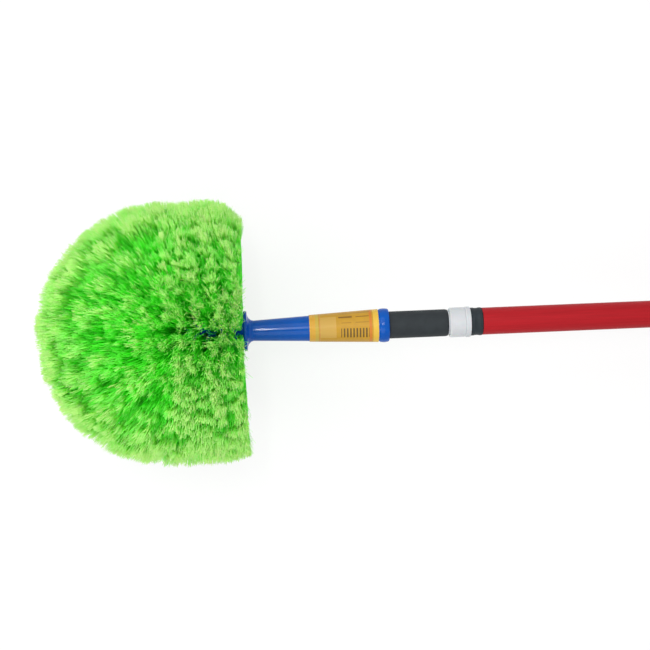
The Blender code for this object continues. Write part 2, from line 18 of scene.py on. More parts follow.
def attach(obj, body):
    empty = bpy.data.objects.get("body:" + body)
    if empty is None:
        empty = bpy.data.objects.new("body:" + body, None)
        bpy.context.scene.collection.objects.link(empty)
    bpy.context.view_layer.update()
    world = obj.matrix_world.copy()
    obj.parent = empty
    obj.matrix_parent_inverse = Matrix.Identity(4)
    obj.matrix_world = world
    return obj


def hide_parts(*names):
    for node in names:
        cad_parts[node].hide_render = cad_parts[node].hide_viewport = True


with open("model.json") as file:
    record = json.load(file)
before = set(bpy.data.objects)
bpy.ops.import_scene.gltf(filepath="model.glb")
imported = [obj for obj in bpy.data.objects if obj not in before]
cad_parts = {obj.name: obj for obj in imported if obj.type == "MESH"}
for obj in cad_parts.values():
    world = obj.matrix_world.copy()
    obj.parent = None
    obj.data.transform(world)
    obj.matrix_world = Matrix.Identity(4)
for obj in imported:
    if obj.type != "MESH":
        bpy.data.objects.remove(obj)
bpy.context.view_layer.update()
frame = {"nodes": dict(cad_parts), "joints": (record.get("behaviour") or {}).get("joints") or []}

# The name of the map that a piece's colours are baked through.
BAKE_MAP = "OFBake"
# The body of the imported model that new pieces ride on.
HEAD_BODY = "brush_head"
LOG = logging.getLogger("duster")
QUARTER_TURN = math.pi / 2
# A turn by this angle from each clump to the next spreads them evenly.
GOLDEN_ANGLE = math.pi * (3 - math.sqrt(5))
MM_PER_METRE = 1000.0
THREAD_SIDES = 3
TINY = 1e-6

Array = np.ndarray
Pair = tuple[float, float]
Triple = tuple[float, float, float]
Tree = bpy.types.NodeTree
Socket = bpy.types.NodeSocket


class Slot(Enum):
    """Material slots of the record that new pieces take their finish from."""

    FILAMENT = "green_filament"
    CORE = "blue_plastic"


def linear(colour: str) -> tuple[float, float, float, float]:
    """Turn an sRGB hex colour into linear red, green, blue and alpha, by the sRGB standard's curve.

    Args:
        colour: Six hex digits after a hash sign.

    Returns:
        The linear colour, with an alpha of one.
    """
    parts = [int(colour[i:i + 2], 16) / 255 for i in (1, 3, 5)]
    channels = [p / 12.92 if p <= 0.04045 else ((p + 0.055) / 1.055) ** 2.4 for p in parts]
    return (*channels, 1.0)


def per_metre(millimetres: float) -> float:
    """Return the texture scale, in cells per metre, for a pattern of that size."""
    return MM_PER_METRE / millimetres


def add_node(
    tree: Tree, kind: str, settings: dict | None = None, inputs: dict | None = None
) -> bpy.types.Node:
    """Add one node with its settings, its input values and its links.

    Args:
        tree: The node tree that the node goes into.
        kind: The node's type, without its leading word ShaderNode.
        settings: Values of the node's own properties. A ramp is given as (place, colour) stops.
        inputs: A value or an output socket for each named or numbered input.

    Returns:
        The new node.
    """
    node = tree.nodes.new("ShaderNode" + kind)
    for name, value in (settings or {}).items():
        if name == "ramp":
            stops = node.color_ramp.elements
            while len(stops) < len(value):
                stops.new(1)
            for stop, (place, colour) in zip(stops, value):
                stop.position = place
                stop.color = colour
        else:
            setattr(node, name, value)
    for key, value in (inputs or {}).items():
        if isinstance(value, Socket):
            tree.links.new(value, node.inputs[key])
        else:
            node.inputs[key].default_value = value
    return node


@dataclass(frozen=True)
class PoleFrame:
    """Where the pole's own frame lies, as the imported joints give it."""

    origin: Triple
    axis: Triple

    @classmethod
    def from_joints(cls, joints: list[dict]) -> "PoleFrame":
        """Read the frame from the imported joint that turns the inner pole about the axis."""
        turn = next(joint for joint in joints if joint["name"] == "inner_turn")
        return cls(tuple(turn["pos_m"]), tuple(turn["axis"]))

    @property
    def slope(self) -> float:
        """Angle by which the pole rises towards the brush."""
        return math.asin(self.axis[2])

    @property
    def euler(self) -> Triple:
        """Rotation of the pole's frame, as Euler angles."""
        return (0.0, self.slope - QUARTER_TURN, 0.0)

    @property
    def matrix(self) -> Matrix:
        """Matrix from the pole's frame to the row frame."""
        turn = Matrix.Rotation(self.slope - QUARTER_TURN, 4, "Y")
        return Matrix.Translation(self.origin) @ turn

    def coordinates(self, tree: Tree) -> Socket:
        """Add the nodes that give a surface point in the pole's frame.

        Args:
            tree: The material's node tree.

        Returns:
            The socket with the point in metres.
        """
        place = add_node(tree, "TexCoord").outputs["Object"]
        inputs = {"Vector": place, "Location": self.origin, "Rotation": self.euler}
        mapping = add_node(tree, "Mapping", {"vector_type": "TEXTURE"}, inputs)
        return mapping.outputs["Vector"]


POLE = PoleFrame.from_joints(frame["joints"])


@dataclass(frozen=True)
class Finish:
    """A material that starts from what the real one is and how its surface was made."""

    name: str

    def sockets(self, tree: Tree) -> dict:
        """Return the Principled shader's input values and links."""
        raise NotImplementedError

    def material(self) -> bpy.types.Material:
        """Build the material.

        Returns:
            A new material with one Principled shader.
        """
        made = bpy.data.materials.new(self.name)
        made.use_nodes = True
        tree = made.node_tree
        tree.nodes.clear()
        shader = add_node(tree, "BsdfPrincipled", inputs=self.sockets(tree))
        add_node(tree, "OutputMaterial", inputs={"Surface": shader.outputs["BSDF"]})
        return made

    def dress(self, *pieces: bpy.types.Object) -> None:
        """Put one new material on all these pieces, and report each.

        Args:
            pieces: Objects whose material slots are replaced.
        """
        made = self.material()
        for piece in pieces:
            piece.data.materials.clear()
            piece.data.materials.append(made)
            LOG.info("%s: %s", piece.name, self.name)


@dataclass(frozen=True)
class MouldedPlastic(Finish):
    """Injection-moulded plastic, with faint flow marks and the mould's spark-eroded grain."""

    colour: str
    flow_colour: str
    roughness: float
    ior: float = 1.49
    flow_mm: float = 9.0
    flow_detail: float = 3.0
    flow_limits: Pair = (0.35, 0.7)
    # Real spark-eroded grain is about 0.1 mm. It is drawn coarser, so that it shows.
    grain_mm: float = 0.9
    grain_detail: float = 2.0
    grain_height: float = 0.00001
    grain_strength: float = 0.6
    roughness_spread: float = 0.05
    subsurface: float = 0.0
    scatter: float = 0.002
    specular: float = 0.3

    def sockets(self, tree: Tree) -> dict:
        """Return the shader's inputs: flow marks in the colour, grain in the bump."""
        place = POLE.coordinates(tree)
        flow = add_node(tree, "TexNoise", inputs={
            "Vector": place, "Scale": per_metre(self.flow_mm), "Detail": self.flow_detail})
        grain = add_node(tree, "TexNoise", inputs={
            "Vector": place, "Scale": per_metre(self.grain_mm), "Detail": self.grain_detail})
        colours = (linear(self.colour), linear(self.flow_colour))
        colour = add_node(tree, "ValToRGB", {"ramp": tuple(zip(self.flow_limits, colours))}, {
            "Fac": flow.outputs["Fac"]})
        gloss = add_node(tree, "MapRange", inputs={
            "Value": grain.outputs["Fac"],
            "To Min": self.roughness - self.roughness_spread,
            "To Max": self.roughness + self.roughness_spread})
        bump = add_node(tree, "Bump", inputs={
            "Height": grain.outputs["Fac"],
            "Strength": self.grain_strength,
            "Distance": self.grain_height})
        return {
            "Base Color": colour.outputs["Color"],
            "Roughness": gloss.outputs["Result"],
            "Normal": bump.outputs["Normal"],
            "IOR": self.ior,
            "Specular IOR Level": self.specular,
            "Subsurface Weight": self.subsurface,
            "Subsurface Scale": self.scatter,
        }


@dataclass(frozen=True)
class TubeMetal(Finish):
    """Steel tube, drawn lengthwise, bare or under a stoved coat, with fine marks along it."""

    colour: str
    mark_colour: str
    roughness: float
    metallic: float
    # Real drawing marks are about 0.1 mm wide. They are drawn wider, so that they show.
    mark_width_mm: float = 1.4
    mark_length_mm: float = 45.0
    mark_detail: float = 3.0
    mark_limits: Pair = (0.38, 0.72)
    roughness_spread: float = 0.07
    peel_mm: float = 1.8
    peel_detail: float = 1.0
    peel_height: float = 0.00001
    peel_strength: float = 0.5
    specular: float = 0.5

    def sockets(self, tree: Tree) -> dict:
        """Return the shader's inputs: lengthwise marks and the coat's faint peel."""
        place = POLE.coordinates(tree)
        squeeze = self.mark_width_mm / self.mark_length_mm
        along = add_node(tree, "Mapping", inputs={
            "Vector": place, "Scale": (1.0, 1.0, squeeze)}).outputs["Vector"]
        marks = add_node(tree, "TexNoise", inputs={
            "Vector": along,
            "Scale": per_metre(self.mark_width_mm),
            "Detail": self.mark_detail})
        peel = add_node(tree, "TexNoise", inputs={
            "Vector": place, "Scale": per_metre(self.peel_mm), "Detail": self.peel_detail})
        colours = (linear(self.colour), linear(self.mark_colour))
        colour = add_node(tree, "ValToRGB", {"ramp": tuple(zip(self.mark_limits, colours))}, {
            "Fac": marks.outputs["Fac"]})
        gloss = add_node(tree, "MapRange", inputs={
            "Value": marks.outputs["Fac"],
            "To Min": self.roughness - self.roughness_spread,
            "To Max": self.roughness + self.roughness_spread})
        bump = add_node(tree, "Bump", inputs={
            "Height": peel.outputs["Fac"],
            "Strength": self.peel_strength,
            "Distance": self.peel_height})
        return {
            "Base Color": colour.outputs["Color"],
            "Roughness": gloss.outputs["Result"],
            "Normal": bump.outputs["Normal"],
            "Metallic": self.metallic,
            "Specular IOR Level": self.specular,
        }


@dataclass(frozen=True)
class PrintedBlock:
    """One printed shape on the wrap: its middle and half size along the pole and around it."""

    ink: str
    along_mm: float
    half_along_mm: float
    around_mm: float = 0.0
    # Past half the way round, so that a shape with no width of its own runs all the way.
    half_around_mm: float = 60.0
    strength: float = 1.0
    bar_pitch_mm: float = 0.0
    bar_share: float = 0.0


@dataclass(frozen=True)
class PrintedWrap(Finish):
    """Coated paper label, printed in flat colours with plain strips, rules and even bars."""

    paper: str = "#BB8C23"
    paper_shade: str = "#B38626"
    roughness: float = 0.42
    specular: float = 0.25
    mottle_mm: float = 6.0
    mottle_detail: float = 2.0
    mottle_limits: Pair = (0.35, 0.7)
    mottle_height: float = 0.00006
    mottle_strength: float = 0.4
    wrap_radius_mm: float = 13.5
    blocks: tuple[PrintedBlock, ...] = (
        # Band, strip and rule all the way round at the slim end, and a pale panel beside them.
        PrintedBlock("#CE9A35", 70.2, 2.8),
        PrintedBlock("#BDA041", 66.2, 1.4),
        PrintedBlock("#C78655", 63.6, 0.35, strength=0.7),
        PrintedBlock("#C19847", 55.9, 7.3, 0.0, 11.0),
        # Band all the way round and a short strip at the mouth's end.
        PrintedBlock("#D4AC3F", 12.3, 2.6),
        PrintedBlock("#C66D27", 17.2, 1.2, 0.0, 16.5, 0.8),
        # Plain rules, then evenly spaced bars.
        PrintedBlock("#7E5A22", 32.0, 14.4, 14.6, 0.45, 0.75),
        PrintedBlock("#6E4A1C", 40.2, 6.2, 9.4, 0.85, 0.85),
        PrintedBlock("#7E5A22", 24.6, 6.0, 9.2, 0.55, 0.75),
        PrintedBlock("#8A6426", 39.4, 4.6, 3.6, 0.4, 0.6),
        PrintedBlock("#8A6426", 24.8, 6.2, 3.6, 0.4, 0.6),
        PrintedBlock("#54401C", 31.4, 12.9, -5.9, 4.5, 0.9, 2.9, 0.5),
    )

    def sockets(self, tree: Tree) -> dict:
        """Return the shader's inputs: the paper, then each printed block over it."""
        place = POLE.coordinates(tree)
        parts = add_node(tree, "SeparateXYZ", inputs={"Vector": place}).outputs
        along = add_node(tree, "Math", {"operation": "MULTIPLY"}, {
            0: parts["Z"], 1: MM_PER_METRE}).outputs[0]
        angle = add_node(tree, "Math", {"operation": "ARCTAN2"}, {
            0: parts["Y"], 1: parts["X"]}).outputs[0]
        around = add_node(tree, "Math", {"operation": "MULTIPLY"}, {
            0: angle, 1: self.wrap_radius_mm}).outputs[0]
        mottle = add_node(tree, "TexNoise", inputs={
            "Vector": place, "Scale": per_metre(self.mottle_mm), "Detail": self.mottle_detail})
        colours = (linear(self.paper), linear(self.paper_shade))
        colour = add_node(tree, "ValToRGB", {"ramp": tuple(zip(self.mottle_limits, colours))}, {
            "Fac": mottle.outputs["Fac"]}).outputs["Color"]
        for block in self.blocks:
            mask = self.block_mask(tree, block, along, around)
            colour = add_node(tree, "Mix", {"data_type": "RGBA"}, {
                "Factor": mask, 6: colour, 7: linear(block.ink)}).outputs[2]
        bump = add_node(tree, "Bump", inputs={
            "Height": mottle.outputs["Fac"],
            "Strength": self.mottle_strength,
            "Distance": self.mottle_height})
        return {
            "Base Color": colour,
            "Roughness": self.roughness,
            "Specular IOR Level": self.specular,
            "Normal": bump.outputs["Normal"],
        }

    def block_mask(self, tree: Tree, block: PrintedBlock, along: Socket, around: Socket) -> Socket:
        """Add the nodes that say where one block is printed.

        Args:
            tree: The material's node tree.
            block: The printed block.
            along: Millimetres up the pole.
            around: Millimetres around the wrap from its upper side.

        Returns:
            A socket that is the ink's strength inside the block and zero outside it.
        """
        inside = [
            add_node(tree, "Math", {"operation": "COMPARE"}, {
                0: value, 1: middle, 2: half}).outputs[0]
            for value, middle, half in (
                (along, block.along_mm, block.half_along_mm),
                (around, block.around_mm, block.half_around_mm))]
        if block.bar_pitch_mm:
            turns = add_node(tree, "Math", {"operation": "DIVIDE"}, {
                0: along, 1: block.bar_pitch_mm}).outputs[0]
            part = add_node(tree, "Math", {"operation": "FRACT"}, {0: turns}).outputs[0]
            inside.append(add_node(tree, "Math", {"operation": "LESS_THAN"}, {
                0: part, 1: block.bar_share}).outputs[0])
        mask = inside[0]
        for other in (*inside[1:], block.strength):
            mask = add_node(tree, "Math", {"operation": "MULTIPLY"}, {
                0: mask, 1: other}).outputs[0]
        return mask


@dataclass(frozen=True)
class ExtrudedFilament(Finish):
    """Extruded plastic filament, clear saturated green in the field, frayed pale at its end, with
    painted shade.
    """

    # Share of the filament's length from its root, and the colour there.
    colours: tuple[tuple[float, str], ...] = (
        (0.3, "#40FF20"), (0.8, "#5CFF34"), (0.94, "#9AF056"), (1.0, "#BCEC84"))
    # Painted shade: a saturated green mixed in where a filament lies in shade inside the field.
    painted_shade: str = "#3CFF20"
    roughness: float = 0.45
    ior: float = 1.53
    specular: float = 0.2
    scatter: float = 0.0004
    # How far red, green and blue go inside, as shares of the scatter.
    scatter_shares: Triple = (0.6, 1.0, 0.5)

    def sockets(self, tree: Tree) -> dict:
        """Return the shader's inputs: a colour that runs along each filament, with painted shade
        mixed in.
        """
        along = add_node(tree, "Attribute", {"attribute_name": "along"}).outputs["Fac"]
        tone = add_node(tree, "Attribute", {"attribute_name": "tone"}).outputs["Fac"]
        stops = [(share, linear(colour)) for share, colour in self.colours]
        colour = add_node(tree, "ValToRGB", {"ramp": stops}, {"Fac": along}).outputs["Color"]
        mixed = add_node(tree, "Mix", {"data_type": "RGBA"}, {
            "Factor": tone, 6: colour, 7: linear(self.painted_shade)}).outputs[2]
        return {
            "Base Color": mixed,
            "Roughness": self.roughness,
            "IOR": self.ior,
            "Specular IOR Level": self.specular,
            "Subsurface Weight": 1.0,
            "Subsurface Scale": self.scatter,
            "Subsurface Radius": self.scatter_shares,
        }


class Finishes:
    """Every finish on the duster."""

    # Polypropylene from a polished mould: deep blue with a sharp, narrow glint along the taper.
    BLUE_POLYPROPYLENE = MouldedPlastic(
        "moulded_blue_polypropylene", "#0451AC", "#034BA3", 0.08, ior=1.49, specular=0.14,
        grain_height=0.0000015, roughness_spread=0.01)
    # Polyamide from an eroded mould: dark grey and dull, with a broad soft sheen.
    GREY_POLYAMIDE = MouldedPlastic(
        "moulded_grey_polyamide", "#2C3134", "#272B2E", 0.58, ior=1.53, grain_mm=0.7,
        specular=0.15)
    # Acetal from a fine mould: a cool, milky white that lets a little light in at its edges.
    WHITE_ACETAL = MouldedPlastic(
        "moulded_white_acetal", "#C4C6C9", "#BFC1C6", 0.4, ior=1.48, subsurface=0.12)
    # Undyed acetal: a warm, slightly waxy off-white.
    NATURAL_ACETAL = MouldedPlastic(
        "moulded_natural_acetal", "#E4E0D2", "#DCD7C6", 0.4, ior=1.48, subsurface=0.1)
    # ABS from a grained mould: a blue-black satin that doesn't mirror its surroundings.
    BLACK_ABS = MouldedPlastic(
        "moulded_black_abs", "#272F34", "#20282C", 0.5, ior=1.54, grain_mm=0.8, specular=0.15)
    # Powder coat stoved on drawn tube: an even, satin red with faint lengthwise marks and peel.
    RED_COATED_STEEL = TubeMetal(
        "stoved_red_coat_on_steel", "#A81821", "#9C161E", 0.5, 0.0, specular=0.14)
    # Drawn tube with a thin zinc plate: bright grey metal, streaked along its length.
    DRAWN_STEEL = TubeMetal(
        "drawn_zinc_plated_steel", "#C3C6C8", "#AEB2B5", 0.3, 1.0, mark_width_mm=0.6)
    # Coated paper, printed flat: an opaque warm yellow with crisp ink and a slight sheen.
    PRINTED_WRAP = PrintedWrap("printed_coated_paper")
    # Drawn plastic thread with split ends: light goes into it, and it turns pale where it frays.
    # Its glow of green between its neighbours is partly that light and partly painted shade.
    GREEN_FILAMENT = ExtrudedFilament("extruded_green_filament")


def mesh_piece(
    name: str,
    points: Array,
    faces: list[Array],
    finish: Finish,
    values: dict[str, Array] | None = None,
    map_places: Array | None = None,
) -> bpy.types.Object:
    """Make a smooth-shaded mesh object in the row frame from points in the pole's frame.

    Args:
        name: The piece's name.
        points: Vertices, one row each, in the pole's frame.
        faces: Arrays of faces, each with a fixed number of corners.
        finish: The piece's finish.
        values: Named values on the vertices that the finish reads.
        map_places: Places of the faces' corners on the map that colours are baked through.

    Returns:
        The new object, linked to the scene.
    """
    mesh = bpy.data.meshes.new(name)
    corners = [row for array in faces for row in array.tolist()]
    mesh.from_pydata(points.tolist(), [], corners)
    mesh.transform(POLE.matrix)
    mesh.polygons.foreach_set("use_smooth", np.ones(len(mesh.polygons), bool))
    for key, array in (values or {}).items():
        attribute = mesh.attributes.new(key, "FLOAT", "POINT")
        attribute.data.foreach_set("value", array.astype(np.float32))
    if map_places is not None:
        layer = mesh.uv_layers.new(name=BAKE_MAP)
        layer.uv.foreach_set("vector", map_places.astype(np.float32).ravel())
    mesh.validate()
    piece = bpy.data.objects.new(name, mesh)
    bpy.context.scene.collection.objects.link(piece)
    finish.dress(piece)
    return piece


@dataclass
class Studio:
    """A pale floor, a white surround, soft lamps and the camera above the duster."""

    camera_distance: float = 1.18
    lens_mm: float = 71.1
    roll_degrees: float = 2.4
    tilt_degrees: float = 2.5
    aim_height: float = 0.0583
    aim_side: float = 0.0025
    floor_size: float = 8.0
    floor_drop: float = 0.0004
    floor_colour: str = "#F7F7F7"
    floor_glow: float = 0.78
    brush_height: float = 0.2
    surround_light: float = 0.54
    key_power: float = 3.9
    key_size: Pair = (0.4, 0.4)
    key_shift: Triple = (0.0, 0.1, 0.3)
    glint_power: float = 1.6
    glint_size: Pair = (0.03, 0.3)
    glint_shift: Triple = (-0.119, 0.2, 0.0)
    fill_size: Pair = (0.6, 0.6)
    # Each pair of fill lamps: its name, its power, and how far along, across and up it hangs.
    fills: tuple[tuple[str, float, Triple], ...] = (
        ("left", 2.2, (-0.45, 0.35, 0.75)), ("right", 2.3, (0.0, 0.6, 0.65)))

    def camera_matrix(self) -> Matrix:
        """Return the camera's place: over the pole, tilted off its normal and rolled."""
        aim = POLE.matrix @ Vector((0, self.aim_side, self.aim_height))
        lean = Matrix.Rotation(POLE.slope - math.radians(self.tilt_degrees), 4, "Y")
        roll = Matrix.Rotation(-math.radians(self.roll_degrees), 4, "Z")
        back = Matrix.Translation((0, 0, self.camera_distance))
        return Matrix.Translation(aim) @ (lean @ roll) @ back

    def build_camera(self) -> bpy.types.Object:
        """Make the camera at the photograph's viewing angle.

        Returns:
            The camera object, which is also the scene's camera.
        """
        data = bpy.data.cameras.new("photo_camera")
        data.lens = self.lens_mm
        camera = bpy.data.objects.new("photo_camera", data)
        camera.matrix_world = self.camera_matrix()
        bpy.context.scene.collection.objects.link(camera)
        bpy.context.scene.camera = camera
        return camera

    def seen_directly(self, tree: Tree, share: float) -> Socket:
        """Add the nodes that tell rays that show the background from rays that light the object.

        Args:
            tree: The node tree of the floor's material or the world.
            share: The value for rays that show the background.

        Returns:
            A socket that is that share for those rays, and zero for all others.
        """
        path = add_node(tree, "LightPath").outputs
        seen = path["Is Camera Ray"]
        for other in ("Is Glossy Ray", "Is Transmission Ray"):
            seen = add_node(tree, "Math", {"operation": "MAXIMUM"}, {
                0: seen, 1: path[other]}).outputs[0]
        return add_node(tree, "Math", {"operation": "MULTIPLY"}, {
            0: seen, 1: share}).outputs[0]

    def build_floor(self) -> None:
        """Make the pale floor, which keeps the object's shadow."""
        half = self.floor_size / 2
        corners = [(-half, -half), (half, -half), (half, half), (-half, half)]
        mesh = bpy.data.meshes.new("floor")
        mesh.from_pydata([(x, y, -self.floor_drop) for x, y in corners], [], [(0, 1, 2, 3)])
        floor = bpy.data.objects.new("floor", mesh)
        bpy.context.scene.collection.objects.link(floor)
        paint = bpy.data.materials.new("matt_white_floor")
        paint.use_nodes = True
        tree = paint.node_tree
        tree.nodes.clear()
        matt = add_node(tree, "BsdfDiffuse", inputs={"Color": linear(self.floor_colour)})
        glow = add_node(tree, "Emission", inputs={"Strength": 1.0})
        mixed = add_node(tree, "MixShader", inputs={
            0: self.seen_directly(tree, self.floor_glow),
            1: matt.outputs[0],
            2: glow.outputs[0]})
        add_node(tree, "OutputMaterial", inputs={"Surface": mixed.outputs[0]})
        mesh.materials.append(paint)

    def build_surround(self) -> None:
        """Make the white surround, dimmer for the rays that light the object."""
        world = bpy.data.worlds.new("white_surround")
        world.use_nodes = True
        tree = world.node_tree
        tree.nodes.clear()
        extra = self.seen_directly(tree, 1 - self.surround_light)
        strength = add_node(tree, "Math", {"operation": "ADD"}, {
            0: extra, 1: self.surround_light}).outputs[0]
        back = add_node(tree, "Background", inputs={
            "Color": linear("#FFFFFF"), "Strength": strength})
        add_node(tree, "OutputWorld", inputs={"Surface": back.outputs[0]})
        bpy.context.scene.world = world

    def build_lamp(self, name: str, place: Vector, aim: Vector, size: Pair, power: float) -> None:
        """Make one oblong soft lamp.

        Args:
            name: The lamp's name.
            place: Where it hangs.
            aim: The point that it faces.
            size: Its width, and its length along the line towards that point.
            power: Its power in watts.
        """
        data = bpy.data.lights.new(name, "AREA")
        data.shape = "RECTANGLE"
        data.size, data.size_y = size
        data.energy = power
        lamp = bpy.data.objects.new(name, data)
        lamp.location = place
        lamp.rotation_mode = "QUATERNION"
        lamp.rotation_quaternion = (aim - place).to_track_quat("-Z", "Y")
        lamp.visible_camera = False
        bpy.context.scene.collection.objects.link(lamp)

    def build(self) -> None:
        """Make the camera first, then the floor, the surround and the lamps."""
        camera = self.build_camera()
        self.build_floor()
        self.build_surround()
        aim = POLE.matrix @ Vector((0, 0, self.aim_height))
        eye = camera.matrix_world.translation
        key = eye + Vector(self.key_shift)
        self.build_lamp("key_lamp", key, aim, self.key_size, self.key_power)
        glint = eye + Vector(self.glint_shift)
        below = Vector((glint.x, aim.y, aim.z))
        self.build_lamp("glint_lamp", glint, below, self.glint_size, self.glint_power)
        brush = POLE.matrix @ Vector((0, 0, self.brush_height))
        for side, sign in (("far", 1), ("near", -1)):
            for end, power, (along, across, up) in self.fills:
                place = brush + Vector((along, across * sign, up))
                self.build_lamp(f"{end}_{side}_fill", place, brush, self.fill_size, power)
        bpy.context.scene.view_settings.view_transform = "Standard"


@dataclass(frozen=True)
class Wave:
    """A smooth, uneven pattern through space."""

    length: float
    strength: float
    seed: int
    terms: int = 5
    scale: float = 2.2

    def at(self, points: Array) -> Array:
        """Find the pattern's value at each point.

        Args:
            points: Points, one row each.

        Returns:
            Values between about minus the strength and the strength.
        """
        draw = np.random.default_rng(self.seed)
        total = np.zeros(len(points))
        for _ in range(self.terms):
            direction = draw.normal(size=3)
            direction *= math.tau / self.length / np.linalg.norm(direction)
            total += np.sin(points @ direction + draw.uniform(0, math.tau))
        return total / self.scale * self.strength


@dataclass
class Clumps:
    """Clumps of filaments: where each grows from, where it ends on the dome, and how."""

    tuft_run: Array
    tuft_azimuth: Array
    run: Array
    azimuth: Array
    around: Array  # distance of its end from the pole's line
    stretch: Array  # step along the dome for one along the core
    depth: Array  # how far short of the dome it ends
    spread: Array  # how far its filaments' ends spread
    painted_shade: Array  # its share of painted shade
    parting: Array  # how much of the parting's push it takes


@dataclass
class Filaments:
    """Filaments: the points of each line, its share of painted shade, and its clump's run along the
    core.
    """

    line: Array
    tone: Array
    run: Array


@dataclass
class FilamentField:
    """Filaments set in tufts all over the core, trimmed to a dome."""

    # The core's skin.
    core_radius: float = 0.0169
    core_length: float = 0.065
    core_back: float = 0.1333
    core_sides: int = 64
    nose_rings: int = 12
    nose_hole: float = 0.02
    sleeve_wall: float = 0.0026
    # The trimmed dome: a round crown, a straight body and a slanted back edge.
    crown_skirt: float = 0.013
    dome_radius: float = 0.1225
    dome_back: float = 0.1322
    dome_body: float = 0.0681
    back_edge_drop: float = 0.0105
    back_edge_slant: float = 0.0065
    back_edge_reach: float = 0.024
    back_edge_curve: float = 1.6
    # The tufts' holes in the core.
    tuft_pitch: float = 0.0062
    tuft_radius: float = 0.0019
    tuft_lean: float = 0.0036
    tuft_sink: float = 0.0012
    fewest_in_row: int = 3
    numbers_per_row: int = 100
    column_stagger: float = 0.25
    # How the clumps of a tuft gather. Those at the edge of its fan are short, which parts the fans.
    fan_pull: float = 0.34
    fan_edge_start: float = 0.5
    fan_edge_width: float = 0.6
    fan_edge_drop: float = 0.018
    fan_edge_spread: float = 0.5
    # Painted shade on the fan edges, in the valleys between fans, where the field is in shade.
    fan_edge_shade: float = 0.95
    row_edge_share: float = 0.6
    body_gather: float = 0.35
    # The zone of the crown that faces up and down, where the field lies open. Each pair of shares
    # is what holds everywhere, and what this zone adds.
    open_start: float = 0.45
    open_reach: float = 0.3
    open_widening: float = 0.36
    drop_shares: Pair = (0.35, 1.65)
    shade_shares: Pair = (0.3, 0.7)
    chance_shares: Pair = (0.3, 1.0)
    # The clumps' number and places on the dome.
    clumps: int = 1150
    front_thinning: float = 0.8
    run_scatter: float = 0.0009
    azimuth_scatter: float = 0.0012
    least_around: float = 0.02
    clump_nose_gap: float = 0.0004
    # How far short of the dome clumps end, and the chance that one ends deep inside.
    trim_scatter: float = 0.0006
    trim_tilt: float = 0.0008
    trim_wave: Wave = Wave(0.09, 0.0006, 4)
    deep_chance: float = 0.14
    chance_limits: Pair = (0.05, 0.85)
    chance_wave: Wave = Wave(0.07, 0.12, 5)
    crown_chance_share: float = 0.6
    deep_reach: float = 0.010
    deep_reach_limit: float = 3.0
    least_drop: float = 0.002
    # The filaments of a clump: bundles that keep together, and strays.
    filaments_per_clump: int = 18
    bundles: int = 6
    bundle_looseness: float = 0.5
    loose_spread: float = 0.0062
    tight_spread: float = 0.0022
    stray_share: float = 0.34
    stray_spread: float = 0.0075
    stray_depth: float = 0.013
    end_scatter: float = 0.0018
    filament_nose_gap: float = 0.0002
    # The parting along the upper side, through which the core shows.
    parting_degrees: float = 1.1
    parting_width_degrees: float = 8.0
    parting_start: float = 0.7
    parting_base: float = 0.75
    parting_waves: tuple[Wave, Wave] = (Wave(0.028, 0.9, 9), Wave(0.045, 0.35, 3))
    # How much painted shade each filament takes, from pale at 0 to deep at 1: a saturated green
    # standing in for shade inside the field. A little of it varies at random.
    base_shade: float = 0.1
    deep_shade: float = 0.5
    stray_shade: float = 0.4
    clump_shade_scatter: float = 0.09
    shade_scatter: float = 0.07
    fullest_painted_shade_mix: float = 0.9
    # Each filament's bend and thickness at its stations.
    bend_place: float = 0.42
    clump_bend: float = 0.003
    filament_bend: float = 0.0013
    stations: tuple[float, ...] = (0.0, 0.38, 0.74, 1.0)
    station_lengths: tuple[float, ...] = (0.0, 0.32, 0.62, 0.84)
    filament_radii: tuple[float, ...] = (0.00022, 0.00026, 0.0003, 0.00026)
    # Its split end. Real ends fray to many fibres of about 0.1 mm; these are drawn thicker and
    # fewer, so that they show.
    fibres: int = 5
    fibre_lengths: Pair = (0.89, 1.0)
    fibre_radii: Pair = (0.00017, 0.00015)
    fibre_turn: float = 0.5
    fibre_root: Pair = (0.0006, 0.00008)
    fibre_ends: Pair = (-0.0016, 0.0006)
    split_length: float = 0.011
    split_scatter: float = 0.25
    splay: float = 0.0024
    splay_loss: float = 0.25
    # The side that lies on the floor, the pieces that the field is sorted into, and their map.
    under_lift: float = 0.008
    floor_clearance: float = 0.0003
    crown_pieces: int = 5
    body_pieces: int = 4
    map_edge: float = 0.02
    map_half_width: float = 0.002
    seed: int = 11

    @property
    def nose_arc(self) -> float:
        """Length of the core's generator over its round nose."""
        return self.core_radius * QUARTER_TURN

    @property
    def crown_run(self) -> float:
        """Length of the core's generator whose filaments make the dome's round front."""
        return self.nose_arc + self.crown_skirt

    @property
    def whole_run(self) -> float:
        """Length of the core's whole generator, from the nose to the flange."""
        return self.nose_arc + self.core_length

    def core_places(self, run: Array, azimuth: Array) -> tuple[Array, Array]:
        """Find points on the core and the directions that stand off it.

        Args:
            run: Distance from the nose along the core's generator.
            azimuth: Angle about the pole.

        Returns:
            Points and unit normals, one row each.
        """
        bend = np.minimum(run, self.nose_arc) / self.core_radius
        nose_centre = self.core_back + self.core_length
        height = nose_centre - np.maximum(run - self.nose_arc, 0)
        outward = np.stack([np.sin(bend) * np.cos(azimuth), np.sin(bend) * np.sin(azimuth),
                            np.cos(bend)], 1)
        return np.stack([0 * height, 0 * height, height], 1) + outward * self.core_radius, outward

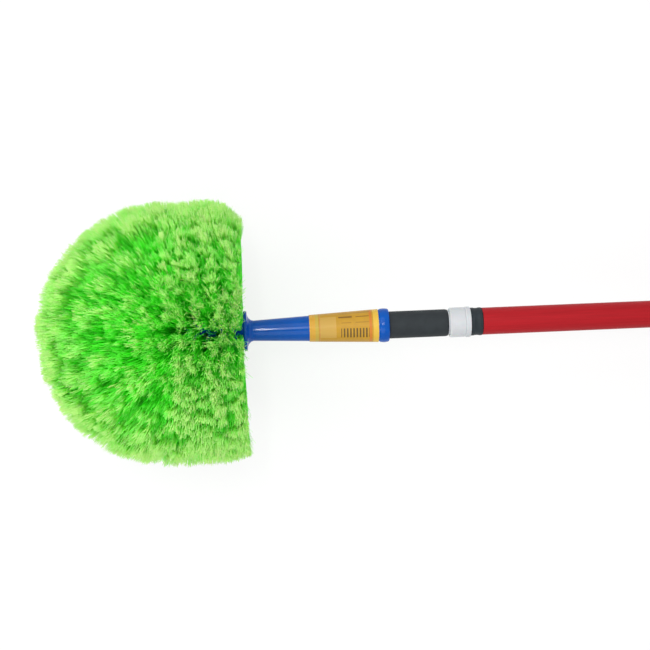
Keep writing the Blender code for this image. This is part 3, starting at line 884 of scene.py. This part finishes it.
    def dome_places(self, run: Array, azimuth: Array, depth: Array) -> Array:
        """Find points on the trimmed dome, or at a depth below it.

        Args:
            run: Distance from the nose along the core's generator, as the tuft's is.
            azimuth: Angle about the pole.
            depth: How far short of the dome the point is.

        Returns:
            Points, one row each.
        """
        polar = np.minimum(run / self.crown_run, 1) * QUARTER_TURN
        body = np.maximum(run - self.crown_run, 0) / (self.whole_run - self.crown_run)
        height = self.dome_back + self.dome_body * (1 - body)
        left = np.maximum(1 - (height - self.dome_back) / self.back_edge_reach, 0)
        drop = self.back_edge_drop + self.back_edge_slant * np.sin(azimuth)
        drop = drop * left ** self.back_edge_curve * (polar > QUARTER_TURN - TINY)
        reach = self.dome_radius - depth - drop
        flat = reach * np.sin(polar)
        return np.stack([flat * np.cos(azimuth), flat * np.sin(azimuth),
                         height + (self.dome_radius - depth) * np.cos(polar)], 1)

    def spread_evenly(self) -> tuple[Array, Array]:
        """Spread the clumps evenly over the dome's area.

        Returns:
            Each clump's run along the core's generator, and its azimuth.
        """
        index = np.arange(self.clumps)
        front = self.front_thinning * self.dome_radius
        front = front / (front + self.dome_body)
        share = (index + 0.5) / self.clumps
        polar = np.arccos(1 - np.minimum(share / front, 1))
        body = np.maximum(share - front, 0) / (1 - front)
        run = polar / QUARTER_TURN * self.crown_run
        run = run + body * (self.whole_run - self.crown_run)
        azimuth = (index * GOLDEN_ANGLE + math.pi) % math.tau - math.pi
        return run, azimuth

    def nearest_tufts(self, run: Array, azimuth: Array) -> tuple[Array, Array, Array, Array]:
        """Find the tuft that each clump grows from.

        Args:
            run: The clumps' runs along the core's generator.
            azimuth: The clumps' azimuths.

        Returns:
            The tufts' runs, their azimuths, half the angle between tufts, and the tufts' numbers.
        """
        rows = round(self.whole_run / self.tuft_pitch)
        row = np.clip(np.round(run / self.whole_run * rows - 0.5), 0, rows - 1)
        tuft_run = (row + 0.5) * self.whole_run / rows
        around = self.core_radius * np.sin(np.minimum(tuft_run / self.core_radius, QUARTER_TURN))
        columns = np.maximum(np.round(math.tau * around / self.tuft_pitch), self.fewest_in_row)
        offset = 0.5 + self.column_stagger * (2 * (row % 2) - 1)
        column = np.round(azimuth / math.tau * columns - offset)
        tuft_azimuth = (column + offset) / columns * math.tau
        number = row * self.numbers_per_row + column % columns
        return tuft_run, tuft_azimuth, math.pi / columns, number.astype(int)

    def place_clumps(self, draw: np.random.Generator) -> Clumps:
        """Work out where each clump of filaments ends on the dome, and how.

        Args:
            draw: Source of the random values.

        Returns:
            The clumps, from the nose back.
        """
        run, azimuth = self.spread_evenly()
        count = len(run)
        tuft_run, tuft_azimuth, half_turn, tuft = self.nearest_tufts(run, azimuth)
        tips = self.dome_places(run, azimuth, np.zeros(count))
        around = np.maximum(np.hypot(tips[:, 0], tips[:, 1]), self.least_around)
        crown = run < self.crown_run
        stretch = np.where(crown, QUARTER_TURN * self.dome_radius / self.crown_run,
                           self.dome_body / (self.whole_run - self.crown_run))
        gather = np.where(crown, 1.0, self.body_gather)
        facing = np.abs(tips[:, 0]) / self.dome_radius - self.open_start
        facing = np.clip(facing / self.open_reach, 0, 1)
        open_zone = facing * crown

        row_place = (run - tuft_run) / (self.tuft_pitch / 2) * gather * self.row_edge_share
        column_place = (azimuth - tuft_azimuth) / half_turn
        edge = np.hypot(row_place, column_place) - self.fan_edge_start
        edge = np.clip((edge + self.open_widening * open_zone) / self.fan_edge_width, 0, 1)
        edge = edge ** 2 * (3 - 2 * edge)

        lean = draw.normal(0, self.tuft_lean, (tuft.max() + 1, 2))
        run = run - self.fan_pull * gather * (run - tuft_run) + lean[tuft, 0] / stretch
        run = run + draw.normal(0, self.run_scatter, count) / stretch
        run = np.clip(run, self.clump_nose_gap, self.whole_run)
        azimuth = azimuth - self.fan_pull * gather * (azimuth - tuft_azimuth)
        scatter = lean[tuft, 1] + draw.normal(0, self.azimuth_scatter, count)
        azimuth = azimuth + scatter / around

        chance = np.clip(self.deep_chance + self.chance_wave.at(tips), *self.chance_limits)
        zone_chance = self.chance_shares[0] + self.chance_shares[1] * open_zone
        chance = chance * np.where(run < self.crown_run, self.crown_chance_share * zone_chance, 1)
        depth = np.abs(draw.normal(0, self.trim_scatter, count))
        short = draw.exponential(self.deep_reach, count)
        short = np.minimum(short, self.deep_reach_limit * self.deep_reach)
        deep = draw.random(count) < chance
        depth = depth + deep * (self.least_drop + short)
        drop = self.fan_edge_drop * (self.drop_shares[0] + self.drop_shares[1] * open_zone)
        uneven = draw.uniform(1 - self.fan_edge_spread, 1 + self.fan_edge_spread, count)
        depth = depth + drop * gather * edge * uneven
        depth = depth - self.trim_wave.at(tips) - self.trim_tilt * np.sin(azimuth)

        # Painted shade: clumps that end deep inside, at fan edges and in the open zone take more
        # saturated green.
        painted_shade = self.base_shade + draw.normal(0, self.clump_shade_scatter, count)
        edge_shade = self.shade_shares[0] + self.shade_shares[1] * open_zone
        painted_shade = painted_shade + self.fan_edge_shade * edge_shade * gather * edge + self.deep_shade * deep
        tight = facing ** 2 * (run >= self.crown_run)
        spread = self.loose_spread + (self.tight_spread - self.loose_spread) * tight
        wide, narrow = self.parting_waves
        parting = (1 + wide.at(tips)) * (self.parting_base + narrow.at(tips))
        return Clumps(tuft_run, tuft_azimuth, run, azimuth, around, stretch, depth, spread, painted_shade,
                      parting)

    def grow(self) -> Filaments:
        """Work out every filament's line from its tuft to its trimmed end.

        Returns:
            The filaments, clump by clump.
        """
        draw = np.random.default_rng(self.seed)
        clumps = self.place_clumps(draw)
        each = np.repeat(np.arange(self.clumps), self.filaments_per_clump)
        total = len(each)
        base, normal = self.core_places(clumps.tuft_run[each], clumps.tuft_azimuth[each])
        base = base + draw.normal(0, self.tuft_radius / 2, (total, 3)) - normal * self.tuft_sink

        stray = draw.random(total) < self.stray_share
        spread = np.where(stray, self.stray_spread, clumps.spread[each])
        bundle = draw.integers(0, self.bundles, total)
        shift = draw.normal(0, 1, (self.clumps, self.bundles, 2))[each, bundle]
        lone = np.where(stray, 1.0, self.bundle_looseness)[:, None]
        shift = shift * np.sqrt(1 - lone ** 2) + draw.normal(0, 1, (total, 2)) * lone
        run = clumps.run[each] + shift[:, 0] * spread / clumps.stretch[each]
        run = np.clip(run, self.filament_nose_gap, self.whole_run)
        azimuth = clumps.azimuth[each] + shift[:, 1] * spread / clumps.around[each]
        width = math.radians(self.parting_width_degrees)
        push = math.radians(self.parting_degrees) * np.exp(-(azimuth / width) ** 2)
        push = push * clumps.parting[each] * (run > self.nose_arc * self.parting_start)
        azimuth = azimuth + np.sign(azimuth) * push
        depth = clumps.depth[each] + np.abs(draw.normal(0, self.end_scatter, total))
        depth = depth + stray * draw.uniform(self.least_drop, self.stray_depth, total)
        line = self.bend(draw, each, base, normal, self.dome_places(run, azimuth, depth))

        # Painted shade: strays, which end deep among the others, take more of the saturated green.
        painted_shade = clumps.painted_shade[each] + self.stray_shade * stray
        painted_shade = painted_shade + draw.normal(0, self.shade_scatter, total)
        return Filaments(line, np.clip(painted_shade, 0, self.fullest_painted_shade_mix), clumps.run[each])

    def bend(
        self, draw: np.random.Generator, each: Array, base: Array, normal: Array, tip: Array
    ) -> Array:
        """Bend each filament from the way that its tuft stands to the place of its end.

        Args:
            draw: Source of the random values.
            each: The number of each filament's clump.
            base: Where each filament leaves the core.
            normal: The unit direction that its tuft stands in.
            tip: Where it ends.

        Returns:
            Points of each line; the last two bound its split end.
        """
        total = len(each)
        reach = tip - base
        length = np.linalg.norm(reach, axis=1)[:, None]
        control = base + (0.5 * normal + 0.5 * reach / length) * length * self.bend_place
        control = control + draw.normal(0, self.clump_bend, (self.clumps, 3))[each]
        control = control + draw.normal(0, self.filament_bend, (total, 3))
        uneven = draw.uniform(1 - self.split_scatter, 1 + self.split_scatter, (total, 1))
        split = 1 - self.split_length * uneven / length
        steps = np.concatenate([split * np.array(self.stations), np.ones_like(split)], 1)
        steps = steps[:, :, None]
        line = ((1 - steps) ** 2 * base[:, None] + 2 * steps * (1 - steps) * control[:, None]
                + steps ** 2 * tip[:, None])
        under = np.sqrt(np.maximum(-line[:, :, 0], 0) / self.dome_radius)
        line[:, :, 2] = np.maximum(line[:, :, 2], self.dome_back + self.under_lift * under)
        return line

    def thread_mesh(
        self, line: Array, radius: Array, side: Array, beside: Array
    ) -> tuple[Array, list[Array]]:
        """Give each line a closed three-sided body.

        Args:
            line: Points of each thread's line.
            radius: The threads' radius at each of their points.
            side: Unit vectors across the threads.
            beside: Unit vectors across the threads and square to the others.

        Returns:
            Vertices, and faces that count from the first of them.
        """
        count, steps, _ = line.shape
        corners = np.arange(THREAD_SIDES)
        angle = corners * math.tau / THREAD_SIDES
        ring = (np.cos(angle)[None, :, None] * side[:, None]
                + np.sin(angle)[None, :, None] * beside[:, None])
        points = line[:, :, None] + ring[:, None] * radius[None, :, None, None]
        first = np.arange(count)[:, None] * steps * THREAD_SIDES
        last = (steps - 1) * THREAD_SIDES
        faces = []
        for low in range(0, last, THREAD_SIDES):
            for one in corners:
                two = (one + 1) % THREAD_SIDES
                faces.append(first + low + np.array(
                    [one, two, two + THREAD_SIDES, one + THREAD_SIDES]))
        faces += [first + corners[::-1], first + last + corners]
        return points.reshape(-1, 3), faces

    def filament_mesh(
        self, grown: Filaments, seed: int
    ) -> tuple[Array, list[Array], dict[str, Array]]:
        """Build the filaments, each with an end that is split into fibres.

        Args:
            grown: The filaments of one piece.
            seed: Which random turns the sides and fibres get.

        Returns:
            Vertices, faces, and the values along and painted shade mix on the vertices.
        """
        draw = np.random.default_rng(seed)
        line = grown.line
        count = len(line)
        heading = line[:, -1] - line[:, 0]
        heading /= np.linalg.norm(heading, axis=1)[:, None]
        side = np.cross(heading, draw.normal(size=(count, 3)))
        side /= np.linalg.norm(side, axis=1)[:, None]
        beside = np.cross(heading, side)
        threads = [(line[:, :-1], self.filament_radii, self.station_lengths)]
        turn = draw.uniform(0, math.tau, count)
        sink, offset = self.fibre_root
        for fibre in range(self.fibres):
            angle = turn + fibre * math.tau / self.fibres + draw.normal(0, self.fibre_turn, count)
            splay = np.abs(draw.normal(0, self.splay, count))
            out = side * np.cos(angle)[:, None] + beside * np.sin(angle)[:, None]
            root = line[:, -2] - heading * sink + out * offset
            end = line[:, -1] + out * splay[:, None]
            more = draw.uniform(*self.fibre_ends, count) - splay * self.splay_loss
            end = end + heading * more[:, None]
            threads.append((np.stack([root, end], 1), self.fibre_radii, self.fibre_lengths))
        start = 0
        vertices, faces, alongs, painted_shade_mixes = [], [], [], []
        for places, radii, lengths in threads:
            points, walls = self.thread_mesh(places, np.array(radii), side, beside)
            faces += [array + start for array in walls]
            start += len(points)
            vertices.append(points)
            alongs.append(np.tile(np.repeat(lengths, THREAD_SIDES), count))
            painted_shade_mixes.append(np.repeat(grown.tone, len(radii) * THREAD_SIDES))
        values = {"along": np.concatenate(alongs), "tone": np.concatenate(painted_shade_mixes)}
        return np.concatenate(vertices), faces, values

    def colour_map(self, faces: list[Array], values: dict[str, Array]) -> Array:
        """Lay each face on a map of painted shade mix against length, which together set its
        colour.

        Args:
            faces: Arrays of faces, each with a fixed number of corners.
            values: The values along and painted shade mix on the vertices.

        Returns:
            The corners' places on the map, in the order of the faces.
        """
        half = self.map_half_width
        shifts = {4: [(-half, 0), (half, 0), (half, 0), (-half, 0)],
                  3: [(-half, -half), (half, -half), (0, half)]}
        places = []
        for array in faces:
            place = np.stack([values["tone"][array], values["along"][array]], 2)
            place = self.map_edge + place * (1 - 2 * self.map_edge)
            places.append((place + np.array(shifts[array.shape[1]])).reshape(-1, 2))
        return np.concatenate(places)

    def lift_off_floor(self, points: Array) -> Array:
        """Bend what would pass through the floor up on to it.

        Args:
            points: Vertices in the pole's frame.

        Returns:
            The vertices, none of them below the floor.
        """
        turn = np.array(POLE.matrix.to_3x3())
        origin = np.array(POLE.matrix.translation)
        placed = points @ turn.T + origin
        placed[:, 2] = np.maximum(placed[:, 2], self.floor_clearance)
        return (placed - origin) @ turn

    def core_profile(self, radius: float) -> list[Pair]:
        """Draw a bullet's half outline.

        Args:
            radius: The radius of its nose and its body.

        Returns:
            Distances from the pole's line and heights up it, from the nose back.
        """
        centre = self.core_back + self.core_length
        bends = np.linspace(self.nose_hole, QUARTER_TURN, self.nose_rings)
        nose = [(radius * math.sin(bend), centre + radius * math.cos(bend)) for bend in bends]
        return [*nose, (radius, self.core_back)]

    def build_core(self) -> None:
        """Make the core's skin that the tufts are set in, over the solid's slimmer spine."""
        inner = self.core_profile(self.core_radius - self.sleeve_wall)
        profile = np.array(self.core_profile(self.core_radius) + inner[::-1])
        rows, sides = len(profile), self.core_sides
        angle = np.arange(sides) * math.tau / sides
        out = profile[:, 0, None]
        heights = np.repeat(profile[:, 1, None], sides, 1)
        points = np.stack([out * np.cos(angle), out * np.sin(angle), heights], 2).reshape(-1, 3)
        faces = []
        for row in range(rows):
            here, beyond = row * sides, (row + 1) % rows * sides
            for one in range(sides):
                two = (one + 1) % sides
                faces.append([here + one, beyond + one, beyond + two, here + two])
        piece = mesh_piece("filament_core", points, [np.array(faces)], Finishes.BLUE_POLYPROPYLENE)
        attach(piece, HEAD_BODY)

    def build(self) -> None:
        """Make the filament pieces from the nose back, each in the place of its solid."""
        polar = np.arccos(1 - np.linspace(0, 1, self.crown_pieces + 1))
        crown_edges = polar / QUARTER_TURN * self.crown_run
        body_edges = np.linspace(self.crown_run, self.whole_run + TINY, self.body_pieces + 1)
        parts = [(f"filaments_crown_{i + 1}", "bristle_crown", crown_edges[i:i + 2])
                 for i in range(self.crown_pieces)]
        parts += [(f"filaments_ring_{i + 1}", f"bristle_ring_{i + 1}", body_edges[i:i + 2])
                  for i in range(self.body_pieces)]
        grown = self.grow()
        for index, (name, node, (low, high)) in enumerate(parts):
            chosen = (grown.run >= low) & (grown.run < high)
            part = Filaments(grown.line[chosen], grown.tone[chosen], grown.run[chosen])
            points, faces, values = self.filament_mesh(part, self.seed + index)
            points = self.lift_off_floor(points)
            places = self.colour_map(faces, values)
            piece = mesh_piece(name, points, faces, Finishes.GREEN_FILAMENT, values, places)
            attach(piece, HEAD_BODY)
            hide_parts(node)
            LOG.info("%s: %d filaments", name, len(part.run))


@dataclass
class BrushHead:
    """The blue head moulding, its printed wrap and its filaments."""

    filaments: FilamentField

    def build(self) -> None:
        """Dress the head's own nodes, then grow its filaments."""
        nodes = frame["nodes"]
        Finishes.BLUE_POLYPROPYLENE.dress(nodes["brush_socket"])
        Finishes.PRINTED_WRAP.dress(nodes["product_label"])
        self.filaments.build_core()
        self.filaments.build()


@dataclass
class Pole:
    """Both tubes with the ferrule, the lock and the end cap."""

    def build(self) -> None:
        """Dress each of the pole's nodes."""
        nodes = frame["nodes"]
        Finishes.RED_COATED_STEEL.dress(nodes["outer_tube"])
        Finishes.DRAWN_STEEL.dress(nodes["inner_tube"])
        Finishes.GREY_POLYAMIDE.dress(nodes["tip_ferrule"])
        Finishes.WHITE_ACETAL.dress(nodes["lock_nut"])
        Finishes.NATURAL_ACETAL.dress(nodes["split_collet"])
        Finishes.BLACK_ABS.dress(nodes["lock_body"], nodes["end_cap"], nodes["guide_bush"])


def main() -> None:
    """Build the studio, then the duster's sub-assemblies in order."""
    logging.basicConfig(level=logging.INFO, format="%(name)s: %(message)s")
    Studio().build()
    LOG.info("studio is built")
    Pole().build()
    LOG.info("pole is dressed")
    BrushHead(FilamentField()).build()
    LOG.info("brush head is dressed")


if __name__ == "__main__":
    main()
